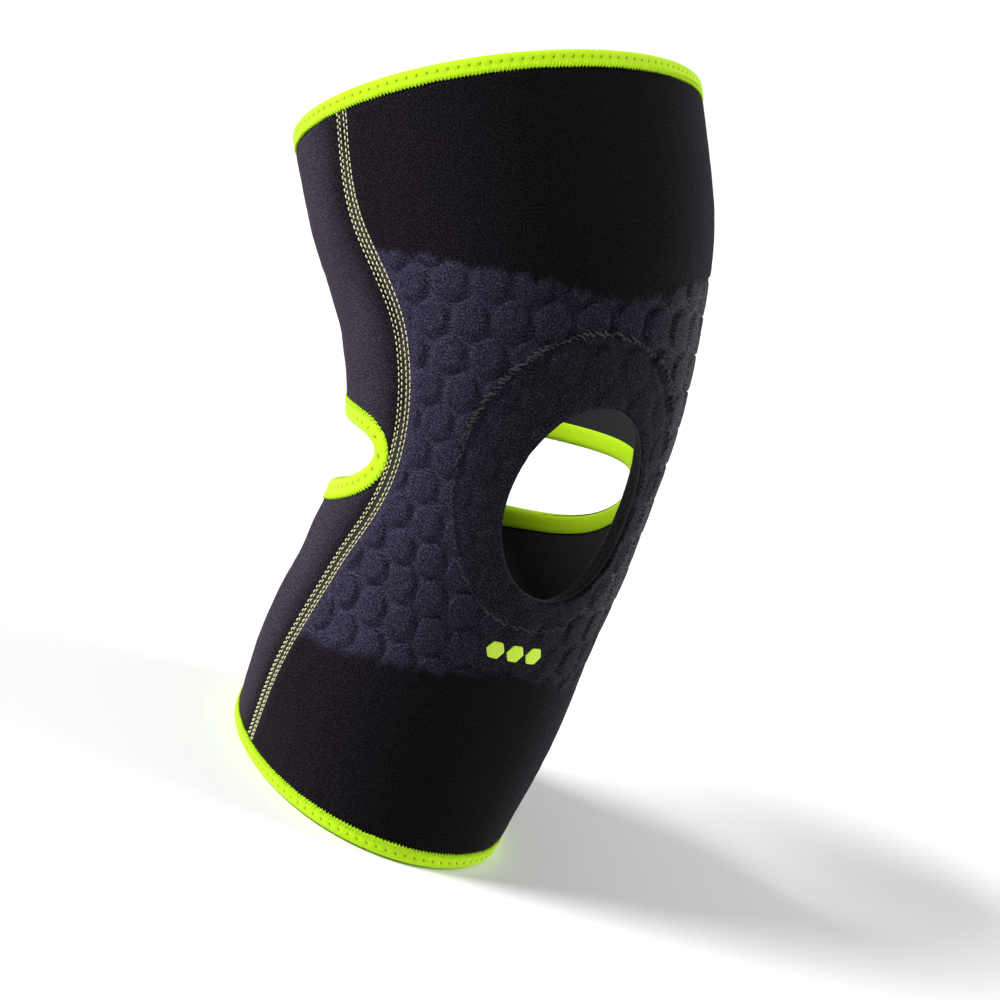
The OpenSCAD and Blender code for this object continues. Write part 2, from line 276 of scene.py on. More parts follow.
def ring_strength(turn):
    """How strongly the stitched ring shows: full above the kneecap and weaker below it."""
    return 0.45 + 0.55 * smooth(-0.3, 0.7, np.sin(turn))


def ring_relief(gap, turn):
    """The tufted ridge of the stitched ring, with a dip on both sides of it."""
    tuft = np.cos(RING_STITCHES * turn + 2 * pi * gap / TUFT_PITCH)
    uneven = 0.75 + 0.5 * noise(turn * RING_W, gap, 4 * MM, 24)
    ridge = (0.45 + 0.45 * tuft) * bump(gap, 1.5 * MM)
    dips = bump(gap + 2.5 * MM, 1.2 * MM) + 0.55 * bump(gap - 2.4 * MM, 1.0 * MM)
    return ring_strength(turn) * uneven * (ridge - dips) * MM


def front_relief(s, u):
    """The cells, the flat patch for the print, the stitched ring and the rolled rim of the opening."""
    x, y = cloth_x(s, u), cloth_y(s)
    ring, gap, turn = ring_share(s, u)
    mask = emboss_mask(s, u)
    lift = mask * cell_relief(s, u, x, y, ring) + (1 - mask) * PLAIN_LIFT
    # the cloth lies flat under the print
    beside = np.abs(u - EMBLEM_U) * MEAN_RADIUS - 1.5 * EMBLEM_PITCH
    bare = smooth(0, 3.5 * MM, np.maximum(beside, np.abs(s - EMBLEM_S) - EMBLEM_MARGIN))
    lift = bare * lift + (1 - bare) * PRINTED_LIFT
    lift += ring_relief(gap, turn)
    lift -= 0.9 * MM * bump(np.maximum(ring, 0) * 20 * MM, 1.1 * MM)
    return lift + common_relief(s, u, x, y)


def rear_relief(s, u):
    """Soft folds above and below the opening behind the knee."""
    x, y = cloth_x(s, u), cloth_y(s)
    away = np.abs(s - KNEE)
    back = smooth(0.2, 1.0, -np.cos(u))
    folds = np.sin(2 * pi * (s - KNEE) / FOLD_LENGTH + 0.8 * noise(x, y, 40 * MM, 31))
    lift = 0.7 * MM * folds * bump(away - FOLD_DISTANCE, 24 * MM) * back
    # the pinch under the binding of the opening
    across = (pi - np.abs(u)) * MEAN_RADIUS
    up = s - KNEE + BACK_DROP * np.clip(1 - (across / BACK_W) ** 2, 0, None)
    size = np.hypot(across / BACK_W, up / BACK_H) + 1e-9
    from_edge = (size - 1) * size / np.hypot(across / BACK_W ** 2, up / BACK_H ** 2)
    lift -= 0.8 * MM * (1 - smooth(BACK_BINDING_WIDTH, BACK_BINDING_WIDTH + 2.2 * MM, from_edge))
    return lift + 0.15 * MM + common_relief(s, u, x, y)


def common_relief(s, u, x, y):
    """Soft unevenness, the groove along the seams and the pinch under the rim bindings."""
    lift = 0.35 * MM * noise(x, y, 38 * MM, 41) + 0.10 * MM * noise(x, y, 6 * MM, 42)
    lift += 0.05 * MM * noise(x, y, 1.6 * MM, 43)
    from_seam = seam_distance(s, u)
    pull = 1 + 0.25 * np.sin(y / (4.2 * MM) * 2 * pi)
    lift -= 0.85 * MM * bump(from_seam, 3.4 * MM)
    lift += 0.22 * MM * bump(np.abs(from_seam) - 6.5 * MM, 2.2 * MM) * pull
    from_rim = np.minimum(s, LENGTH - s)
    lift -= 0.85 * MM * (1 - smooth(BINDING_WIDTH - 0.4 * MM, BINDING_WIDTH + 2.2 * MM, from_rim))
    return lift


def outer_lift(s, u, front):
    lift = front_relief(s, u) if front else rear_relief(s, u)
    return np.clip(lift, LOWEST_LIFT, HIGHEST_LIFT)


# ---------------- panels with an opening
# A panel is two halves of rows, above and below its opening, joined beside the opening.
def panel(front, beside, over, rows):
    """A panel's opening and its columns beside and over it, with the rows of each half."""
    seam = float(spline(SEAM_TURNS, KNEE))
    if front:
        share, height, drop = HOLE_W / MEAN_RADIUS / seam, HOLE_H, 0.0
    else:
        share = (BACK_W + BACK_INSET_W) / MEAN_RADIUS / (pi - seam)
        height, drop = BACK_H + BACK_INSET_H, BACK_DROP
    return {"front": front, "beside": beside, "over": over, "rows": rows,
            "share": share, "height": height, "drop": drop}


def panel_grid(p):
    """(s, u) of every point of both halves: arrays of shape (2, rows + 1, columns + 1)."""
    n, e = p["beside"], p["share"]
    left = np.linspace(-1, -e, n + 1)
    middle = -e * np.cos(np.linspace(0, pi, p["over"] + 1))[1:-1]
    across = np.concatenate([left, middle, -left[::-1]])
    middle = np.clip(1 - (across / e) ** 2, 0, None)
    middle[np.abs(across) >= e - 1e-9] = 0
    t = np.linspace(0, 1, p["rows"] + 1)[:, None]
    halves = []
    for up, rim in ((1, LENGTH - KNEE - RIM_INSET), (-1, KNEE - RIM_INSET)):
        edge = p["height"] * np.sqrt(middle) - up * p["drop"] * middle
        halves.append(KNEE + up * (edge[None] * (1 - t) + rim * t))
    s = np.stack(halves)
    seam = spline(SEAM_TURNS, s)
    u = across * seam if p["front"] else pi + across * (pi - seam)
    return s, u


def signed(u):
    """The same angle between -180 and 180 degrees."""
    return (u + pi) % (2 * pi) - pi


def grid_faces(ids, flip):
    """Quads over a grid of point numbers."""
    a, b, c, d = ids[:-1, :-1], ids[:-1, 1:], ids[1:, 1:], ids[1:, :-1]
    order = [a, d, c, b] if flip else [a, b, c, d]
    return np.stack(order, -1).reshape(-1, 4).tolist()


def wall_faces(fine, coarse, step, flip):
    """Triangles between two edge lines, with step points of fine for each one of coarse."""
    faces = []
    for k in range(len(coarse) - 1):
        low, high = coarse[k], coarse[k + 1]
        part = fine[k * step: (k + 1) * step + 1]
        for m in range(step):
            faces.append([part[m], low if m < step // 2 else high, part[m + 1]])
        faces.append([part[step // 2], low, high])
    return [[int(v) for v in (face[::-1] if flip else face)] for face in faces]


def shell(name, p, outer, inner, step=2):
    """A closed sheet between two lifts. Its inner side has every step-th point of its outer side."""
    s, u = panel_grid(p)
    inner_s, inner_u = s[:, ::step, ::step], u[:, ::step, ::step]
    top = place(s, u, outer(s, signed(u)))
    bottom = place(inner_s, inner_u, inner(inner_s, signed(inner_u)))
    points = np.concatenate([top.reshape(-1, 3), bottom.reshape(-1, 3)])
    id_top = np.arange(s.size).reshape(s.shape)
    id_bottom = s.size + np.arange(inner_s.size).reshape(inner_s.shape)
    # the two halves share their points beside the opening
    n, over = p["beside"], p["over"]
    for ids, k in ((id_top, 1), (id_bottom, step)):
        ids[1, 0, : n // k + 1] = ids[0, 0, : n // k + 1]
        ids[1, 0, (n + over) // k:] = ids[0, 0, (n + over) // k:]
    faces = []
    for t, b, flip in zip(id_top, id_bottom, (False, True)):
        faces += grid_faces(t, flip) + grid_faces(b, not flip)
        faces += wall_faces(t[0, n: n + over + 1], b[0, n // step: (n + over) // step + 1], step, flip)
        faces += wall_faces(t[-1], b[-1], step, not flip)
        faces += wall_faces(t[:, 0], b[:, 0], step, not flip)
        faces += wall_faces(t[:, -1], b[:, -1], step, flip)
    used = np.unique(np.concatenate([id_top.ravel(), id_bottom.ravel()]))
    renumbered = np.full(len(points), -1)
    renumbered[used] = np.arange(len(used))
    o = new_mesh(name, points[used], [renumbered[face].tolist() for face in faces])
    flat_s = np.concatenate([s.ravel(), inner_s.ravel()])[used]
    flat_u = signed(np.concatenate([u.ravel(), inner_u.ravel()])[used])
    add_cloth_place(o, flat_s, flat_u)
    return o, flat_s, flat_u


def new_mesh(name, points, faces):
    mesh = bpy.data.meshes.new(name)
    mesh.from_pydata(np.asarray(points).tolist(), [], faces)
    mesh.validate()
    mesh.polygons.foreach_set("use_smooth", [True] * len(mesh.polygons))
    mesh.update()
    o = bpy.data.objects.new(name, mesh)
    bpy.context.scene.collection.objects.link(o)
    return o


def add_value(o, name, values):
    attribute = o.data.attributes.new(name, "FLOAT", "POINT")
    attribute.data.foreach_set("value", np.asarray(values, np.float32))


def add_cloth_place(o, s, u):
    """Each point's place on the flat cloth, in metres, for patterns that stay with the fabric."""
    flat = np.stack([cloth_x(s, u), cloth_y(s), np.zeros(len(s))], -1)
    attribute = o.data.attributes.new("cloth", "FLOAT_VECTOR", "POINT")
    attribute.data.foreach_set("vector", flat.astype(np.float32).ravel())


# ---------------- swept trims and threads
def frames(s, u, lift):
    """Position, outward normal, and the surface directions of growing s and growing u."""
    h = 0.2 * MM
    here = place(s, u, lift)
    up = place(s + h, u, lift) - place(s - h, u, lift)
    around = place(s, u + h / MEAN_RADIUS, lift) - place(s, u - h / MEAN_RADIUS, lift)
    up /= np.linalg.norm(up, axis=-1, keepdims=True)
    out = np.cross(around, up)
    out /= np.linalg.norm(out, axis=-1, keepdims=True)
    across = np.cross(up, out)
    return here, out, up, across


def swept(name, points, closed):
    """A tube through points of shape (stations, profile, 3), the profile running anticlockwise as seen
    along the stations."""
    n, m = points.shape[:2]
    ids = np.arange(n * m).reshape(n, m)
    if closed:
        ids = np.concatenate([ids, ids[:1]])
    a, b = ids[:-1], ids[1:]
    quads = np.stack([a, np.roll(a, -1, 1), np.roll(b, -1, 1), b], -1).reshape(-1, 4).tolist()
    if not closed:
        quads.append(ids[0][::-1].tolist())
        quads.append(ids[-1].tolist())
    o = new_mesh(name, points.reshape(-1, 3), quads)
    make_outward(o)
    return o


def make_outward(o):
    """Turns every face of a closed mesh outward."""
    mesh = o.data
    co = np.zeros(len(mesh.vertices) * 3)
    mesh.vertices.foreach_get("co", co)
    co = co.reshape(-1, 3)
    mesh.calc_loop_triangles()
    tri = np.zeros(len(mesh.loop_triangles) * 3, int)
    mesh.loop_triangles.foreach_get("vertices", tri)
    tri = tri.reshape(-1, 3)
    volume = np.einsum("ij,ij->i", co[tri[:, 0]], np.cross(co[tri[:, 1]], co[tri[:, 2]])).sum()
    if volume < 0:
        mesh.flip_normals()


def thread(name, s, u, lift, thickness, sides=5):
    """A round thread along a closed path on the surface."""
    here, out, _, _ = frames(s, u, lift)
    along = np.roll(here, -1, 0) - np.roll(here, 1, 0)
    along /= np.linalg.norm(along, axis=1, keepdims=True)
    side = np.cross(along, out)
    side /= np.linalg.norm(side, axis=1, keepdims=True)
    out = np.cross(side, along)
    turn = (np.arange(sides) * 2 * pi / sides)[None, :, None]
    ring = np.cos(turn) * side[:, None] + np.sin(turn) * out[:, None]
    return swept(name, here[:, None] + thickness / 2 * ring, True)


# A stitch's rings of points: their places from end to end, and the thickness there
STITCH_PLACES = np.array([-1.0, -0.86, -0.45, 0.0, 0.45, 0.86, 1.0])
STITCH_SIZES = np.array([0.18, 0.72, 0.98, 1.0, 0.98, 0.72, 0.18])
STITCH_SIDES = 6


def stitches(name, s, u, lift, angle, length, width, height):
    """Short raised stitches, each a bowed lozenge of thread that dips into the fabric at both ends.
    angle is the stitch's turn from straight up the sleeve."""
    values = (np.asarray(v, float) for v in (s, u, lift, angle, length))
    s, u, lift, angle, length = np.broadcast_arrays(*values)
    here, out, up, across = frames(s, u, lift)
    along = up * np.cos(angle)[:, None] + across * np.sin(angle)[:, None]
    side = np.cross(along, out)
    drop = -1.1 * np.abs(STITCH_PLACES) ** 2.5
    turn = np.arange(STITCH_SIDES) * 2 * pi / STITCH_SIDES
    x = STITCH_PLACES[:, None] * np.ones(STITCH_SIDES)
    y = STITCH_SIZES[:, None] * np.cos(turn)[None]
    z = STITCH_SIZES[:, None] * np.sin(turn)[None] + drop[:, None]
    points = (here[:, None, None]
              + x[None, ..., None] * (length / 2)[:, None, None, None] * along[:, None, None]
              + y[None, ..., None] * width / 2 * side[:, None, None]
              + z[None, ..., None] * height / 2 * out[:, None, None])
    base = np.arange(x.size).reshape(x.shape)
    a, b = base[:-1], base[1:]
    quads = np.stack([a, b, np.roll(b, -1, 1), np.roll(a, -1, 1)], -1).reshape(-1, 4)
    one = quads.tolist() + [base[0].tolist(), base[-1][::-1].tolist()]
    faces = [[v + k * base.size for v in f] for k in range(len(s)) for f in one]
    o = new_mesh(name, points.reshape(-1, 3), faces)
    make_outward(o)
    return o


# ---------------- materials
def material(name, colour, roughness, build=None):
    """A material with a plain base, to which build adds its pattern."""
    m = bpy.data.materials.new(name)
    m.use_nodes = True
    shader = m.node_tree.nodes["Principled BSDF"]
    shader.inputs["Base Color"].default_value = (*colour, 1)
    shader.inputs["Roughness"].default_value = roughness
    if build:
        build(Nodes(m.node_tree, shader))
    return m


class Nodes:
    """Short calls that add nodes to a material."""

    def __init__(self, tree, shader):
        self.tree, self.shader = tree, shader

    def add(self, kind, **values):
        node = self.tree.nodes.new(kind)
        for key, value in values.items():
            setattr(node, key, value)
        return node

    def link(self, a, b):
        self.tree.links.new(a, b)

    def attribute(self, name, output="Fac"):
        node = self.add("ShaderNodeAttribute", attribute_name=name)
        return node.outputs[output]

    def texture(self, vector, scale, detail=2.0, roughness=0.5):
        node = self.add("ShaderNodeTexNoise")
        node.inputs["Scale"].default_value = scale
        node.inputs["Detail"].default_value = detail
        node.inputs["Roughness"].default_value = roughness
        self.link(vector, node.inputs["Vector"])
        return node.outputs["Fac"]

    def ramp(self, value, stops):
        node = self.add("ShaderNodeValToRGB")
        ramp = node.color_ramp
        while len(ramp.elements) < len(stops):
            ramp.elements.new(0.5)
        for element, (at, colour) in zip(ramp.elements, stops):
            element.position = at
            element.color = (*colour, 1)
        self.link(value, node.inputs["Fac"])
        return node.outputs["Color"]

    def mix(self, factor, a, b, blend="MIX"):
        node = self.add("ShaderNodeMix", data_type="RGBA", blend_type=blend)
        for key, value in (("Factor", factor), ("A", a), ("B", b)):
            socket = node.inputs[key]
            if isinstance(value, (int, float)):
                socket.default_value = value
            elif isinstance(value, tuple):
                socket.default_value = (*value, 1)
            else:
                self.link(value, socket)
        return node.outputs["Result"]

    def maths(self, kind, a, b=None):
        node = self.add("ShaderNodeMath", operation=kind)
        for socket, value in zip(node.inputs, (a, b)):
            if isinstance(value, (int, float)):
                socket.default_value = value
            elif value is not None:
                self.link(value, socket)
        return node.outputs[0]

    def bumps(self, height, distance, strength=1.0, after=None):
        node = self.add("ShaderNodeBump")
        node.inputs["Strength"].default_value = strength
        node.inputs["Distance"].default_value = distance
        self.link(height, node.inputs["Height"])
        if after is not None:
            self.link(after, node.inputs["Normal"])
        return node.outputs["Normal"]


def sheen(shader, weight, tint, roughness=0.5, specular=0.12):
    """The soft edge light of fibres, with little gloss."""
    shader.inputs["Sheen Weight"].default_value = weight
    shader.inputs["Sheen Tint"].default_value = (*tint, 1)
    shader.inputs["Sheen Roughness"].default_value = roughness
    shader.inputs["Specular IOR Level"].default_value = specular


# The nap's colours. The plain bands and the embossed cells are painted lighter and more purple on the outer
# side, as painted sheen and light, and painted lighter and greyer on the inner side, as painted light from
# that side.
BAND, BAND_PAINTED_LIGHT_OUTER, BAND_PAINTED_LIGHT_INNER = (0.0030, 0.0030, 0.0031), (0.0082, 0.0062, 0.0100), (0.0140, 0.0125, 0.0160)
CELL, CELL_PAINTED_LIGHT_OUTER, CELL_PAINTED_LIGHT_INNER = (0.0150, 0.0138, 0.0215), (0.0340, 0.0292, 0.0530), (0.0510, 0.0500, 0.0530)
# The middle colour of the next line darkens the cloth round the kneecap opening, and low on the front it is
# painted shade.
GROOVE_TINT, DARK_HOLE_AND_PAINTED_SHADE, CORD = (0.008, 0.007, 0.016), (0.0090, 0.0085, 0.0115), (0.0060, 0.0055, 0.0075)
REAR_DARK, REAR_LIGHT = (0.0240, 0.0185, 0.0290), (0.0400, 0.0315, 0.0455)
# Painted shade on the rear panel beside the side seams
SEAM_PAINTED_SHADE = (0.0040, 0.0034, 0.0050)


def grey(value):
    return (value, value, value)


def nap(front):
    """Brushed plush nap: dark, with fine light fibres; the embossed zone is a purple grey. Painted sheen
    and light lighten the front's sides, and painted shade darkens it low down and the rear beside the
    seams.
    """
    def build(n):
        cloth = n.attribute("cloth", "Vector")
        fine = n.texture(cloth, 1350, 2, 0.7)
        patch = n.texture(cloth, 320, 2, 0.5)
        speck = n.ramp(fine, [(0.37, (0.22, 0.22, 0.24)), (0.50, grey(0.88)), (0.64, (2.5, 2.4, 2.5))])
        clumps = n.ramp(patch, [(0.3, grey(0.6)), (0.7, grey(1.5))])
        speck = n.mix(0.55, speck, clumps, "MULTIPLY")
        if front:
            # painted sheen and light: lighter and purple on the outer side, lighter and grey on the inner
            # side
            outer, inner = n.attribute("painted_light_outer_side"), n.attribute("painted_light_inner_side")
            band = n.mix(inner, n.mix(outer, BAND, BAND_PAINTED_LIGHT_OUTER), BAND_PAINTED_LIGHT_INNER)
            cell = n.mix(inner, n.mix(outer, CELL, CELL_PAINTED_LIGHT_OUTER), CELL_PAINTED_LIGHT_INNER)
            cell = n.mix(n.attribute("groove"), n.mix(0.25, cell, GROOVE_TINT), cell)
            # darker round the kneecap opening, and painted shade low on the front
            cell = n.mix(n.maths("MULTIPLY", n.attribute("dark_hole_and_painted_shade"), 0.7), cell, DARK_HOLE_AND_PAINTED_SHADE)
            cell = n.mix(n.maths("MULTIPLY", n.attribute("cord"), 0.8), cell, CORD)
            colour = n.mix(n.attribute("emboss"), band, cell)
        else:
            broad = n.texture(cloth, 38, 2, 0.5)
            # painted shade darkens the rear panel near the side seams
            painted_seam_shade = n.maths("MULTIPLY", n.attribute("painted_seam_shade"), 0.9)
            colour = n.mix(painted_seam_shade, n.mix(broad, REAR_DARK, REAR_LIGHT), SEAM_PAINTED_SHADE)
        colour = n.mix(1.0, colour, speck, "MULTIPLY")
        n.link(colour, n.shader.inputs["Base Color"])
        rough = n.ramp(patch, [(0.3, grey(0.82)), (0.7, grey(0.97))])
        n.link(rough, n.shader.inputs["Roughness"])
        normal = n.bumps(patch, 0.5 * MM, 0.5)
        n.link(n.bumps(fine, 0.35 * MM, 0.9, normal), n.shader.inputs["Normal"])
        sheen(n.shader, 0.02, (0.75, 0.66, 0.85), 0.4, specular=0.05)
    return build


def knit(light, dark):
    """Smooth knitted lining with fine ribs."""
    def build(n):
        cloth = n.attribute("cloth", "Vector")
        waves = []
        for direction, scale, distortion, detail in (("X", 260, 1.2, 1), ("Y", 330, 0.8, 2)):
            wave = n.add("ShaderNodeTexWave", wave_type="BANDS", bands_direction=direction)
            wave.inputs["Scale"].default_value = scale
            wave.inputs["Distortion"].default_value = distortion
            wave.inputs["Detail"].default_value = detail
            n.link(cloth, wave.inputs["Vector"])
            waves.append(wave.outputs["Fac"])
        weave = n.maths("MULTIPLY", *waves)
        n.link(n.mix(weave, dark, light), n.shader.inputs["Base Color"])
        n.link(n.bumps(weave, 0.25 * MM, 0.6), n.shader.inputs["Normal"])
        sheen(n.shader, 0.15, (0.7, 0.7, 0.75))
    return build


def foam(n):
    """Closed-cell foam: tiny pits."""
    where = n.add("ShaderNodeTexCoord").outputs["Object"]
    pits = n.add("ShaderNodeTexVoronoi")
    pits.inputs["Scale"].default_value = 2600
    n.link(where, pits.inputs["Vector"])
    tone = n.ramp(pits.outputs["Distance"], [(0.0, (0.006, 0.006, 0.007)), (0.6, (0.022, 0.022, 0.024))])
    n.link(tone, n.shader.inputs["Base Color"])
    n.link(n.bumps(pits.outputs["Distance"], 0.15 * MM, 0.7), n.shader.inputs["Normal"])


def lime_tape(n):
    """Neon elastic tape: a fine grain, a frayed free edge and darker needle dimples."""
    where = n.add("ShaderNodeTexCoord").outputs["Object"]
    grain = n.texture(where, 1700, 3, 0.6)
    blotch = n.texture(where, 260, 2, 0.5)
    colour = n.mix(grain, (0.40, 0.72, 0.002), (0.58, 0.92, 0.010))
    colour = n.mix(n.maths("MULTIPLY", blotch, 0.4), colour, (0.54, 0.78, 0.014))
    fray = n.ramp(n.texture(where, 900, 3, 0.7), [(0.50, grey(0)), (0.60, grey(1))])
    frayed = n.maths("MULTIPLY", n.maths("MULTIPLY", n.attribute("leg"), fray), 0.45)
    colour = n.mix(frayed, colour, (0.16, 0.27, 0.0))
    colour = n.mix(n.attribute("dimple"), colour, (0.05, 0.09, 0.0))
    n.link(colour, n.shader.inputs["Base Color"])
    n.link(n.bumps(grain, 0.2 * MM, 0.7), n.shader.inputs["Normal"])
    sheen(n.shader, 0.1, (0.9, 1.0, 0.6))


def yarn(colour, shade):
    """Twisted thread."""
    def build(n):
        where = n.add("ShaderNodeTexCoord").outputs["Object"]
        grain = n.texture(where, 2600, 2, 0.6)
        n.link(n.mix(grain, shade, colour), n.shader.inputs["Base Color"])
        n.link(n.bumps(grain, 0.1 * MM, 0.6), n.shader.inputs["Normal"])
        sheen(n.shader, 0.08, (0.9, 0.9, 0.95))
    return build


def cover_yarn(n):
    """Dark cover stitching whose raised strands catch an olive green."""
    where = n.add("ShaderNodeTexCoord").outputs["Object"]
    grain = n.texture(where, 2200, 2, 0.6)
    strand = n.mix(grain, (0.010, 0.015, 0.002), (0.050, 0.072, 0.005))
    n.link(n.mix(n.attribute("strand"), grey(0.0020), strand), n.shader.inputs["Base Color"])
    n.link(n.bumps(grain, 0.1 * MM, 0.6), n.shader.inputs["Normal"])


def print_ink(n):
    """Printed lime, slightly grained."""
    where = n.add("ShaderNodeTexCoord").outputs["Object"]
    grain = n.texture(where, 1500, 2, 0.5)
    n.link(n.mix(grain, (0.44, 0.70, 0.01), (0.60, 0.86, 0.02)), n.shader.inputs["Base Color"])
    n.link(n.bumps(grain, 0.15 * MM, 0.6), n.shader.inputs["Normal"])


FRONT_NAP = material("front_nap", (0.03, 0.03, 0.04), 0.9, nap(True))
REAR_NAP = material("rear_nap", (0.03, 0.03, 0.04), 0.9, nap(False))
LINING = material("lining_knit", grey(0.02), 0.8, knit((0.040, 0.040, 0.046), (0.012, 0.012, 0.014)))
FOAM = material("closed_cell_foam", grey(0.02), 0.8, foam)
LIME = material("lime_tape", (0.55, 0.95, 0), 0.62, lime_tape)
LIME_YARN = material("lime_yarn", (0.6, 1, 0.02), 0.55, yarn((0.66, 1.0, 0.02), (0.42, 0.80, 0.0)))
PALE_YARN = material("pale_yarn", (0.8, 0.8, 0.5), 0.5, yarn((0.98, 0.96, 0.66), (0.74, 0.72, 0.36)))
OLIVE_YARN = material("olive_yarn", (0.05, 0.06, 0.02), 0.7, cover_yarn)
BLACK_YARN = material("black_yarn", grey(0.02), 0.8, yarn((0.058, 0.056, 0.066), (0.008, 0.008, 0.010)))
TAPE = material("black_tape", grey(0.02), 0.7, yarn((0.030, 0.030, 0.034), (0.012, 0.012, 0.014)))
INK = material("lime_print", (0.5, 0.8, 0.02), 0.5, print_ink)

# ---------------- the bodies that the pieces follow
CALF, THIGH = "calf_half", "thigh_half"


def stands_for(nodes):
    """Hides the CAD nodes that the piece replaces."""
    if nodes:
        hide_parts(*nodes)


def bends(o, paint, slot, *nodes):
    """A piece built in the sleeve's bent shape, with its place baked into its mesh."""
    o.data.materials.append(paint)
    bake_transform(o)
    stands_for(nodes)


def rides(o, body, paint, slot, *nodes):
    """A piece that stays on one half of the sleeve."""
    o.data.materials.append(paint)
    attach(o, body)
    stands_for(nodes)


# ---------------- the laminate
FACE_INNER = -1.55 * MM
FOAM_TOP, FOAM_BOTTOM = -1.6 * MM, -2.85 * MM
LINING_TOP, LINING_BOTTOM = -2.9 * MM, -LAMINATE


def constant(lift):
    """The same lift everywhere."""
    return lambda s, u: np.full(np.shape(s), lift)


def paint_front(face, s, u):
    """What the front nap's colours go by."""
    mask = emboss_mask(s, u)
    ring, gap, turn = ring_share(s, u)
    # painted shade on the lower front, from just outward of its middle to the inner side
    below = (1 - smooth(95 * MM, 122 * MM, s)) * smooth(radians(-26), radians(-10), u)
    add_value(face, "emboss", mask)
    add_value(face, "groove", mask * smooth(CELL_EDGE, CELL_GROOVE, cell_share(s, u)))
    # where the nap is painted lighter: painted sheen and light on the outer side, painted light on the
    # inner side
    add_value(face, "painted_light_outer_side", smooth(radians(20), radians(72), -u))
    add_value(face, "painted_light_inner_side", smooth(radians(8), radians(48), u))
    # darker cloth round the kneecap opening, and the painted shade low on the front
    add_value(face, "dark_hole_and_painted_shade", np.maximum(1 - smooth(0.55, 1.25, ring), 0.9 * below))
    add_value(face, "cord", bump(gap, 1.6 * MM) * smooth(-0.5, 0.6, np.sin(turn)))


def make_panel(name, fine, coarse, paint):
    """A panel's face, foam and lining. The face has the fine mesh."""
    front = fine["front"]
    face, s, u = shell(name + "_face", fine, lambda a, b: outer_lift(a, b, front), constant(FACE_INNER), 4)
    if front:
        paint_front(face, s, u)
    else:
        # where the painted shade beside the side seams falls
        add_value(face, "painted_seam_shade", bump(seam_distance(s, u), 11 * MM))
    bends(face, paint, name + "_fabric", name + "_face")
    core, _, _ = shell(name + "_foam", coarse, constant(FOAM_TOP), constant(FOAM_BOTTOM))
    bends(core, FOAM, "foam", *[name + "_core_" + part for part in ("thigh", "knee", "calf")])
    lining, _, _ = shell(name + "_lining", coarse, constant(LINING_TOP), constant(LINING_BOTTOM))
    bends(lining, LINING, "lining", name + "_lining")
    return face, core, lining


front_face, front_foam, front_lining = make_panel(
    "front", panel(front=True, beside=72, over=96, rows=184),
    panel(front=True, beside=24, over=44, rows=80), FRONT_NAP)
rear_face, rear_foam, rear_lining = make_panel(
    "rear", panel(front=False, beside=12, over=160, rows=144),
    panel(front=False, beside=6, over=90, rows=80), REAR_NAP)

# ---------------- edge bindings
# The folded tape's section, as [distance in from the fold, lift], outer leg first
TAPE_SECTION = np.array([
    [6.7, -0.45], [6.75, -0.1], [6.5, 0.2], [5.9, 0.38], [5.2, 0.40], [4.7, 0.36], [4.3, 0.34], [3.9, 0.38],
    [3.2, 0.50], [2.4, 0.52], [1.6, 0.42], [0.9, 0.15], [0.4, -0.35], [0.1, -1.0], [0.0, -1.8], [0.1, -2.6],
    [0.45, -3.3], [1.0, -3.8], [1.8, -4.05], [3.2, -4.1], [5.0, -4.05], [6.4, -3.95], [6.7, -3.75],
    [6.4, -3.5], [1.2, -3.48], [0.75, -3.0], [0.6, -1.8], [0.75, -0.85], [1.2, -0.6], [6.2, -0.7]]) * MM
NEEDLE_PITCH, NEEDLE_LINE, NEEDLE_DEPTH = 4.05 * MM, 3.25 * MM, 0.32 * MM
ZIGZAG_PITCH, ZIGZAG_WIDTH, ZIGZAG_THREAD = 1.45 * MM, 2.0 * MM, 0.36 * MM
STATIONS_PER_STITCH = 6
DENSE_POINTS = 4001


def even_steps(arc, values, pitch):
    """The values at equal steps round a closed path, so many for each stitch, and the stitches' number."""
    count = round(arc[-1] / pitch) * STATIONS_PER_STITCH
    return np.interp(np.arange(count) / count * arc[-1], arc, values), count // STATIONS_PER_STITCH


def rim_path(s_edge, inward, pitch):
    """Stations round a rim: s, u, step of s and step of u for each metre in, and the number of stitches."""
    dense = np.linspace(-pi, pi, DENSE_POINTS)
    u, count = even_steps(arc_lengths(place(s_edge, dense)), dense, pitch)
    one = np.ones(len(u))
    return s_edge * one, u, inward * one, 0 * one, count


def back_opening(t):
    """The point at angle t round the opening behind the knee."""
    u = pi + BACK_W / MEAN_RADIUS * np.cos(t)
    return KNEE + BACK_H * np.sin(t) - BACK_DROP * np.sin(t) ** 2, u


def back_path(pitch):
    """Stations round the opening behind the knee, stepping out from it."""
    dense = np.linspace(0, 2 * pi, DENSE_POINTS)
    t, count = even_steps(arc_lengths(place(*back_opening(dense))), dense, pitch)
    s, u = back_opening(t)
    out_u, out_s = (BACK_H - 2 * BACK_DROP * np.sin(t)) * np.cos(t), BACK_W * np.sin(t)
    size = np.hypot(out_u, out_s)
    return s, u, out_s / size / stretch(s, u), out_u / size / MEAN_RADIUS, count


